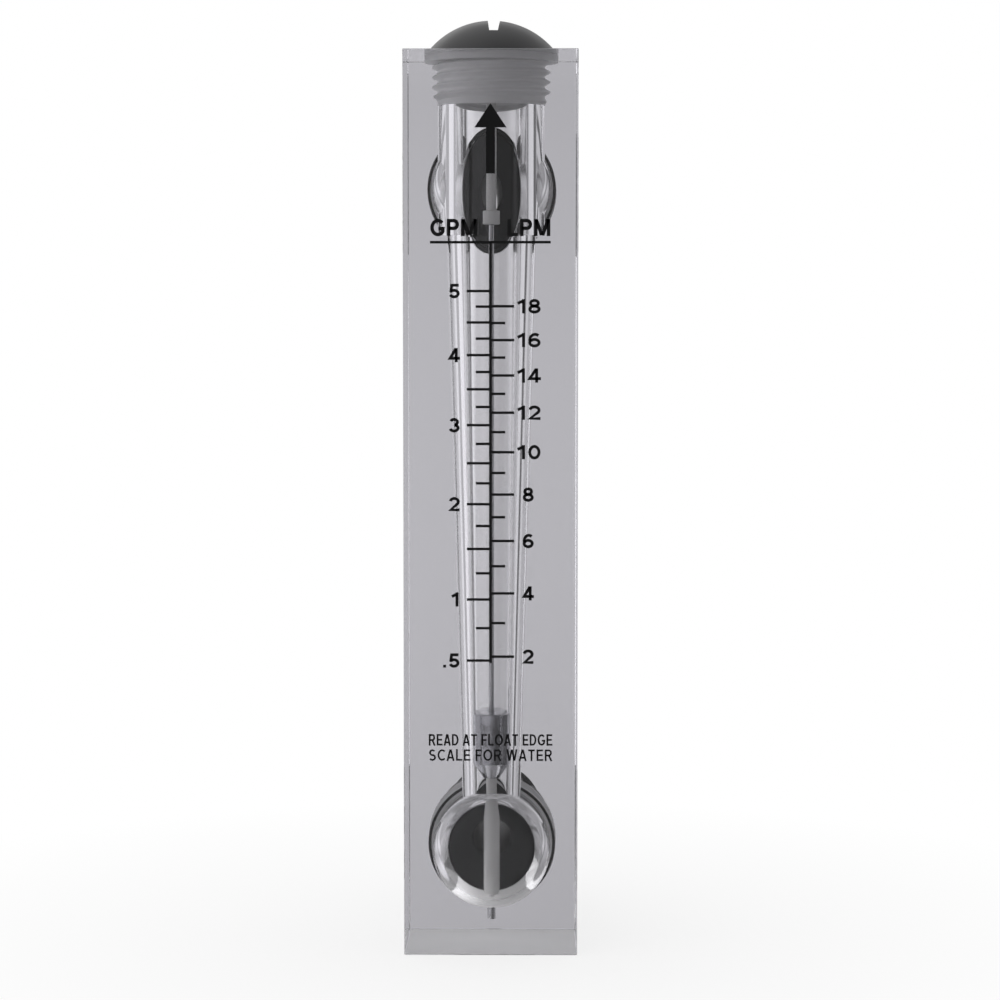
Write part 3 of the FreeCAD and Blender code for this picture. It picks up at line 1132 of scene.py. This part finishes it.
class Print:
    """Gathers ink shapes that lie on the block's front face."""

    def __init__(self, scale):
        self.mesh = bmesh.new()
        self.near = BLOCK_FRONT - scale.ink_gap
        self.far = self.near - scale.ink_height

    def shape(self, outline):
        """A closed outline of (x, z) points, filled with ink."""
        extrude(self.mesh, outline, self.near, self.far)

    def bar(self, left, right, low, high):
        self.shape([(left, low), (right, low), (right, high), (left, high)])

    def stroke(self, path, width, closed):
        """A line of one width along a path, with mitred bends."""
        sections = []
        for index, point in enumerate(path):
            before = path[index - 1] if index or closed else point
            after = path[(index + 1) % len(path)] if index < len(path) - 1 or closed else point
            arriving = (point - before if before != point else after - point).normalized()
            leaving = (after - point if after != point else point - before).normalized()
            along = (arriving + leaving).normalized()
            aside = Vector((-along.y, along.x)) * width / 2 / max(along.dot(leaving), MITRE_LIMIT)
            left, right = point + aside, point - aside
            corners = ((left, self.near), (right, self.near), (right, self.far), (left, self.far))
            sections.append([self.mesh.verts.new((edge.x, depth, edge.y)) for edge, depth in corners])
        pairs = list(zip(sections, sections[1:]))
        if closed:
            pairs.append((sections[-1], sections[0]))
        else:
            self.mesh.faces.new(sections[0])
            self.mesh.faces.new(sections[-1][::-1])
        for start, end in pairs:
            for corner in range(len(start)):
                following = (corner + 1) % len(start)
                self.mesh.faces.new((start[corner], end[corner], end[following], start[following]))

    def words(self, text, height, weight, centre, baseline, width=None):
        """Lettering of a given capital height, centred on a place and fitted to a width if one is given."""
        strokes = []
        cursor = 0
        for letter in text:
            advance, paths = LETTERS[letter]
            strokes += [[(cursor + x, z) for x, z in path] for path in paths]
            cursor += advance + LETTER_GAP
        span = cursor - LETTER_GAP
        wide = width / span if width else height * DIGIT_STRETCH
        for points in strokes:
            closed = points[0] == points[-1]
            if closed:
                points = points[:-1]
            path = [Vector((centre + (x - span / 2) * wide, baseline + z * height)) for x, z in points]
            self.stroke(path, weight * height, closed)

    def piece(self, name, ink):
        """Makes one object of all the shapes, which moves with the block."""
        bmesh.ops.remove_doubles(self.mesh, verts=self.mesh.verts, dist=WELD)
        bmesh.ops.recalc_face_normals(self.mesh, faces=self.mesh.faces)
        made = new_piece(name, self.mesh, [ink])
        made.data.shade_flat()
        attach(made, "meter")


class FLOWMETER_OT_printed_scale(bpy.types.Operator):
    """Prints the scale, its numbers, the unit marks, a flow arrow and a reading note on the front"""

    bl_idname = "flow_meter.printed_scale"
    bl_label = "Printed Scale"

    def execute(self, context):
        scale = context.scene.flow_meter.scale
        ink = screen_ink(scale)
        self.lines(scale).piece("scale_lines", ink)
        self.numbers(scale).piece("scale_numbers", ink)
        self.words(scale).piece("scale_words", ink)
        self.arrow(scale).piece("flow_arrow", ink)
        return {"FINISHED"}

    def lines(self, scale):
        """Centre line, ticks on both sides and the line under the unit marks."""
        sheet = Print(scale)
        half = scale.line / 2
        sheet.bar(-half, half, scale.low_mark - scale.line, scale.units_line)
        sheet.bar(scale.units_left, scale.units_right, scale.units_line - half, scale.units_line + half)
        for marks, per_gallon, side in (
            (QUARTER_MARKS, QUARTERS_PER_GALLON, -1),
            (LITRE_MARKS, LITRES_PER_GALLON, 1),
        ):
            for mark in marks:
                height = mark_height(scale, mark / per_gallon)
                reach = scale.short_tick if mark % 2 else scale.long_tick
                left, right = sorted((side * half, side * reach))
                sheet.bar(left, right, height - half, height + half)
        return sheet

    def numbers(self, scale):
        """Gallons on the left and litres on the right, each centred in its column."""
        sheet = Print(scale)
        for gallons in GALLON_NUMBERS:
            text = f"{gallons:g}".lstrip("0")
            centre = scale.half_column if gallons < 1 else scale.gallon_column
            baseline = mark_height(scale, gallons) - scale.digit / 2
            sheet.words(text, scale.digit, BOLD, centre, baseline)
        for litres in LITRE_MARKS[::2]:
            baseline = mark_height(scale, litres / LITRES_PER_GALLON) - scale.digit / 2
            text = str(litres)
            width = scale.two_digits if len(text) == 2 else None
            sheet.words(text, scale.digit, BOLD, scale.litre_column, baseline, width)
        return sheet

    def words(self, scale):
        """Unit marks at the head of the scale and the reading note under its foot."""
        sheet = Print(scale)
        baseline = scale.units_line + scale.unit_rise
        for text, centre, width in (
            ("GPM", scale.gallon_unit, scale.gallon_unit_width),
            ("LPM", scale.litre_unit, scale.litre_unit_width),
        ):
            sheet.words(text, scale.unit_height, BOLD, centre, baseline, width)
        for row, text in enumerate(NOTE_LINES):
            baseline = scale.note_top - row * scale.note_pitch
            sheet.words(text, scale.note_height, LIGHT, 0, baseline, scale.note_width)
        return sheet

    def arrow(self, scale):
        """Plain arrow that points the way the water goes."""
        sheet = Print(scale)
        shaft, head = scale.arrow_shaft / 2, scale.arrow_head / 2
        sheet.shape([
            (-shaft, scale.arrow_foot),
            (shaft, scale.arrow_foot),
            (shaft, scale.arrow_shoulder),
            (head, scale.arrow_shoulder),
            (0, scale.arrow_tip),
            (-head, scale.arrow_shoulder),
            (-shaft, scale.arrow_shoulder),
        ])
        return sheet


# Stage

# Light crosses many faces of the block before it is lost
LIGHT_BOUNCES = 24


def painted_board(stage):
    """Matt painted board: white to the eye, with a soft shadow near the object, and open to what glass and
    metal show."""
    material, tree = new_material("Board, matt painted")
    spot = add_node(tree, "ShaderNodeNewGeometry")
    away = add_node(tree, "ShaderNodeVectorMath", {
        0: spot.outputs["Position"], 1: (0, BORE_AXIS.y, BLOCK_LOW.z),
    }, operation="DISTANCE")
    fade = add_node(tree, "ShaderNodeMapRange", {
        "Value": away.outputs["Value"], "From Min": stage.shadow_core, "From Max": stage.shadow_reach,
        "To Min": stage.shadow_light, "To Max": 1.0,
    })
    path = add_node(tree, "ShaderNodeLightPath")
    share = add_node(tree, "ShaderNodeMath", {
        0: path.outputs["Is Camera Ray"], 1: fade.outputs["Result"],
    }, operation="MULTIPLY")
    paint = add_node(tree, "ShaderNodeBsdfDiffuse", {"Color": rgba(stage.floor)})
    white = add_node(tree, "ShaderNodeEmission", {"Color": rgba((1, 1, 1)), "Strength": 1.0})
    board = add_node(tree, "ShaderNodeMixShader", {
        0: share.outputs["Value"], 1: paint.outputs["BSDF"], 2: white.outputs["Emission"],
    })
    beyond = add_node(tree, "ShaderNodeBsdfTransparent")
    through = add_node(tree, "ShaderNodeMath", {
        0: path.outputs["Is Glossy Ray"], 1: path.outputs["Is Transmission Ray"],
    }, operation="MAXIMUM")
    mixed = add_node(tree, "ShaderNodeMixShader", {
        0: through.outputs["Value"], 1: board.outputs["Shader"], 2: beyond.outputs["BSDF"],
    })
    add_node(tree, "ShaderNodeOutputMaterial", {"Surface": mixed.outputs["Shader"]})
    return material


class Span(NamedTuple):
    """A change of level with the direction of a ray: the axis it follows, where it starts and ends, and the
    levels there."""

    axis: str
    start: float
    end: float
    start_level: float
    end_level: float


# Brightness of the studio from the room behind the camera (-1), over the side panels and the dark gap
# between them and the backdrop, to the backdrop (1)
STUDIO_RAMP = (
    (-1.0, 1.0), (-0.3, 0.9), (-0.18, 0.4), (-0.08, 1.5), (0.24, 1.6), (0.33, 0.3),
    (0.45, 0.3), (0.56, 1.45), (0.7, 1.4), (0.84, 1.0), (1.0, 1.0),
)

# How far back the panels lean, along Y for each step up Z
PANEL_LEAN = 1.5

# The left side is lit more than the right and fills the dark gap there. The front of the room is dim on the
# right, the floor is bright on the left only, and the camera stands dark before the room.
STUDIO_SPANS = {
    "sides": Span("X", -0.3, 0.3, 1.15, 0.85),
    "fill": Span("X", -0.2, 0.2, 0.8, 0.0),
    "front": Span("Y", -0.1, -0.4, 0.0, 1.0),
    "right_shade": Span("X", -0.3, 0.5, 0.0, -0.75),
    "down": Span("Z", -0.35, -0.6, 0.0, 1.0),
    "floor_light": Span("X", -0.5, -0.2, 0.6, -0.3),
    "camera": Span("Y", -0.97, -0.85, 0.55, 1.0),
}

# The light is strongest a little under the horizon and fades to this level over this squared height
BRIGHTEST_HEIGHT = -0.05
FADED_LEVEL = 0.8
FADING = 0.05


def studio_world():
    """White backdrop, leaning side panels with a dark gap behind them, and a room that is dimmer on the
    right: clear acrylic takes its light and dark lines from these."""
    world = bpy.data.worlds.new("studio")
    world.use_nodes = True
    tree = world.node_tree
    tree.nodes.clear()
    place = add_node(tree, "ShaderNodeTexCoord")
    axes = add_node(tree, "ShaderNodeSeparateXYZ", {"Vector": place.outputs["Generated"]})
    path = add_node(tree, "ShaderNodeLightPath")

    behind = add_node(tree, "ShaderNodeMath", {
        0: axes.outputs["Z"], 1: -PANEL_LEAN, 2: axes.outputs["Y"],
    }, operation="MULTIPLY_ADD")
    share = add_node(tree, "ShaderNodeMapRange", {
        "Value": behind.outputs["Value"], "From Min": -1.0, "From Max": 1.0,
    })
    ramp = add_node(tree, "ShaderNodeValToRGB", {"Fac": share.outputs["Result"]})
    stops = ramp.color_ramp.elements
    while len(stops) < len(STUDIO_RAMP):
        stops.new(0.5)
    for stop, (position, brightness) in zip(stops, STUDIO_RAMP):
        stop.position = (position + 1) / 2
        stop.color = rgba((brightness,) * 3)

    levels = {}
    for name, span in STUDIO_SPANS.items():
        level = add_node(tree, "ShaderNodeMapRange", {
            "Value": axes.outputs[span.axis], "From Min": span.start, "From Max": span.end,
            "To Min": span.start_level, "To Max": span.end_level,
        })
        levels[name] = level.outputs["Result"]
    lifted = add_node(tree, "ShaderNodeMath", {
        0: axes.outputs["Z"], 1: BRIGHTEST_HEIGHT,
    }, operation="SUBTRACT")
    squared = add_node(tree, "ShaderNodeMath", {0: lifted.outputs["Value"], 1: 2.0}, operation="POWER")
    falloff = add_node(tree, "ShaderNodeMapRange", {
        "Value": squared.outputs["Value"], "From Min": 0.0, "From Max": FADING,
        "To Min": 1.0, "To Max": FADED_LEVEL,
    })
    shade_right = add_node(tree, "ShaderNodeMath", {
        0: levels["front"], 1: levels["right_shade"], 2: 1.0,
    }, operation="MULTIPLY_ADD")
    below = add_node(tree, "ShaderNodeMath", {
        0: levels["down"], 1: levels["floor_light"], 2: 1.0,
    }, operation="MULTIPLY_ADD")
    # The camera shows in reflections, and not through the block from behind
    facing = add_node(tree, "ShaderNodeMath", {
        0: levels["camera"], 1: path.outputs["Is Transmission Ray"],
    }, operation="MAXIMUM")
    strength = add_node(tree, "ShaderNodeMath", {
        0: ramp.outputs["Color"], 1: levels["fill"],
    }, operation="MAXIMUM")
    for factor in (
        levels["sides"], falloff.outputs["Result"], facing.outputs["Value"], below.outputs["Value"],
        shade_right.outputs["Value"],
    ):
        strength = add_node(tree, "ShaderNodeMath", {
            0: strength.outputs["Value"], 1: factor,
        }, operation="MULTIPLY")

    room = add_node(tree, "ShaderNodeBackground", {
        "Color": rgba((1, 1, 1)), "Strength": strength.outputs["Value"],
    })
    white = add_node(tree, "ShaderNodeBackground", {"Color": rgba((1, 1, 1)), "Strength": 1.0})
    mixed = add_node(tree, "ShaderNodeMixShader", {
        0: path.outputs["Is Camera Ray"], 1: room.outputs["Background"], 2: white.outputs["Background"],
    })
    add_node(tree, "ShaderNodeOutputWorld", {"Surface": mixed.outputs["Shader"]})
    return world


class FLOWMETER_OT_stage(bpy.types.Operator):
    """Sets the floor, the studio and the camera at the photograph's angle"""

    bl_idname = "flow_meter.stage"
    bl_label = "Stage"

    def execute(self, context):
        scene = context.scene
        stage = scene.flow_meter.stage
        mesh = bmesh.new()
        bmesh.ops.create_circle(
            mesh, cap_ends=True, radius=stage.floor_radius, segments=ROUND_STEPS,
            matrix=Matrix.Translation((0, BORE_AXIS.y, BLOCK_LOW.z - stage.floor_gap)),
        )
        floor = new_piece("floor", mesh, [painted_board(stage)])
        scene.world = studio_world()
        camera = bpy.data.objects.new("camera", bpy.data.cameras.new("camera"))
        scene.collection.objects.link(camera)
        camera.location = stage.camera_place
        camera.rotation_euler = (math.pi / 2 - stage.camera_tilt, 0, stage.camera_turn)
        camera.data.lens = stage.lens
        scene.camera = camera
        scene.view_settings.view_transform = "Standard"
        scene.cycles.max_bounces = LIGHT_BOUNCES
        scene.cycles.glossy_bounces = LIGHT_BOUNCES
        scene.cycles.transmission_bounces = LIGHT_BOUNCES
        return {"FINISHED"}


# Each operator with the name of the settings that it uses
STEPS = (
    (FLOWMETER_OT_clear_block, "block"),
    (FLOWMETER_OT_top_plug, "plug"),
    (FLOWMETER_OT_guide_rod, "guide"),
    (FLOWMETER_OT_float, "weight"),
    (FLOWMETER_OT_adapters, "ports"),
    (FLOWMETER_OT_fixings, "fixings"),
    (FLOWMETER_OT_printed_scale, "scale"),
    (FLOWMETER_OT_stage, "stage"),
)


class FLOWMETER_PT_sidebar(bpy.types.Panel):
    """Lists the pieces of the flow meter with their sizes and colours"""

    bl_idname = "FLOWMETER_PT_sidebar"
    bl_label = "Water Flow Meter"
    bl_space_type = "VIEW_3D"
    bl_region_type = "UI"
    bl_category = "Flow Meter"

    def draw(self, context):
        for operator, group in STEPS:
            box = self.layout.box()
            box.operator(operator.bl_idname)
            settings = getattr(context.scene.flow_meter, group)
            for name in type(settings).__annotations__:
                box.prop(settings, name)


CLASSES = (
    BlockSettings,
    PlugSettings,
    GuideSettings,
    FloatSettings,
    PortSettings,
    FixingSettings,
    PrintSettings,
    StageSettings,
    FlowMeterSettings,
    *(operator for operator, group in STEPS),
    FLOWMETER_PT_sidebar,
)


def register():
    for cls in CLASSES:
        bpy.utils.register_class(cls)
    bpy.types.Scene.flow_meter = PointerProperty(type=FlowMeterSettings)


def unregister():
    del bpy.types.Scene.flow_meter
    for cls in reversed(CLASSES):
        bpy.utils.unregister_class(cls)


def main():
    register()
    bpy.ops.flow_meter.clear_block()
    bpy.ops.flow_meter.top_plug()
    bpy.ops.flow_meter.guide_rod()
    bpy.ops.flow_meter.float()
    bpy.ops.flow_meter.adapters()
    bpy.ops.flow_meter.fixings()
    bpy.ops.flow_meter.printed_scale()
    bpy.ops.flow_meter.stage()


if __name__ == "__main__":
    main()
